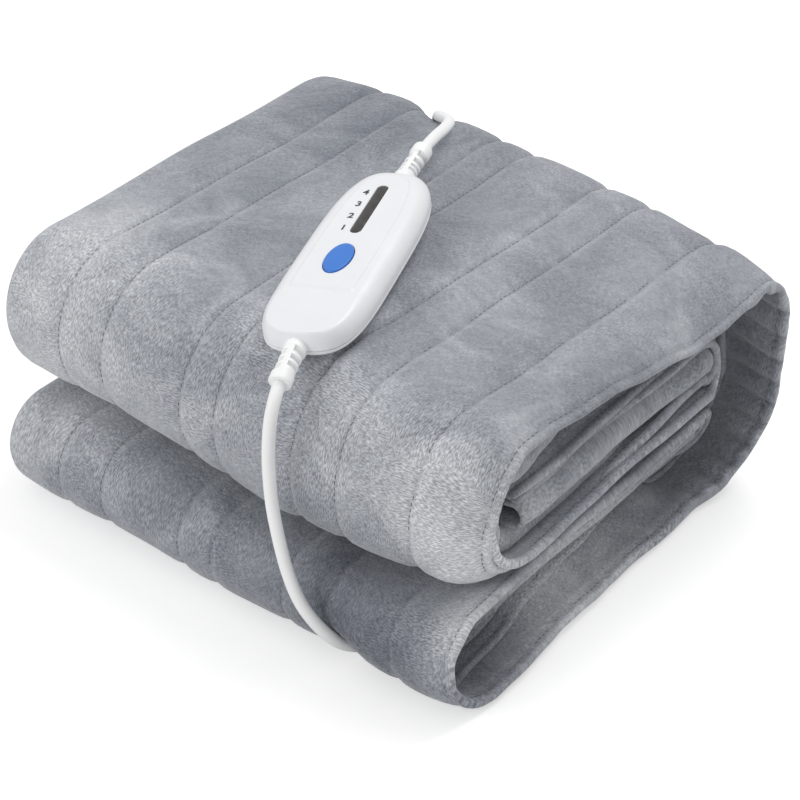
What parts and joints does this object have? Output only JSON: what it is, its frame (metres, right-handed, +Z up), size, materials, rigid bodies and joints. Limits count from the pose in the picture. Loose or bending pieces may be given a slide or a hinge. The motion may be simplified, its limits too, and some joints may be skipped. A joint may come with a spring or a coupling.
{
  "type": "electric heated throw blanket, folded, with hand controller and cord",
  "caption": "Plush heated throw folded into a soft square stack, with a hand controller lying on top and its cords and mains plug.",
  "frame": {"origin": "on the surface that the stack rests on, under the middle of the folded throw", "axes": "+X along the folds towards the open hems, +Y from the rounded front folds to the back wrap, +Z up"},
  "size_m": [0.316, 0.3795, 0.1719],
  "materials": {
    "plush": "short-pile grey plush with brushed patches and stitched channels",
    "shell": "satin white moulded plastic, slightly cool",
    "window": "dark smoked window, polished",
    "button": "blue satin plastic",
    "cord": "soft white cord jacket",
    "socket": "soft white moulding",
    "blade": "plain plated blade"
  },
  "bodies": {
    "root": {"blanket": "plush", "controller_base": "shell", "controller_top": "shell", "level_window": "window", "strain_relief_upper": "cord", "strain_relief_lower": "cord", "cord_lead": "cord", "coil_lead": "cord", "socket_strain_relief": "cord", "blanket_socket": "socket", "cord_mains": "cord", "coil_mains": "cord", "plug_strain_relief": "cord", "mains_plug": "cord", "plug_blade_1": "blade", "plug_blade_2": "blade"},
    "button": {"power_button": "button"}
  },
  "joints": [
    {"name": "button_press", "type": "slide", "parent": "root", "child": "button", "axis": [0.0798, 0.0877, -0.9929], "range_m": [0, 0.0008], "stiffness_N_per_m": 900}
  ]
}
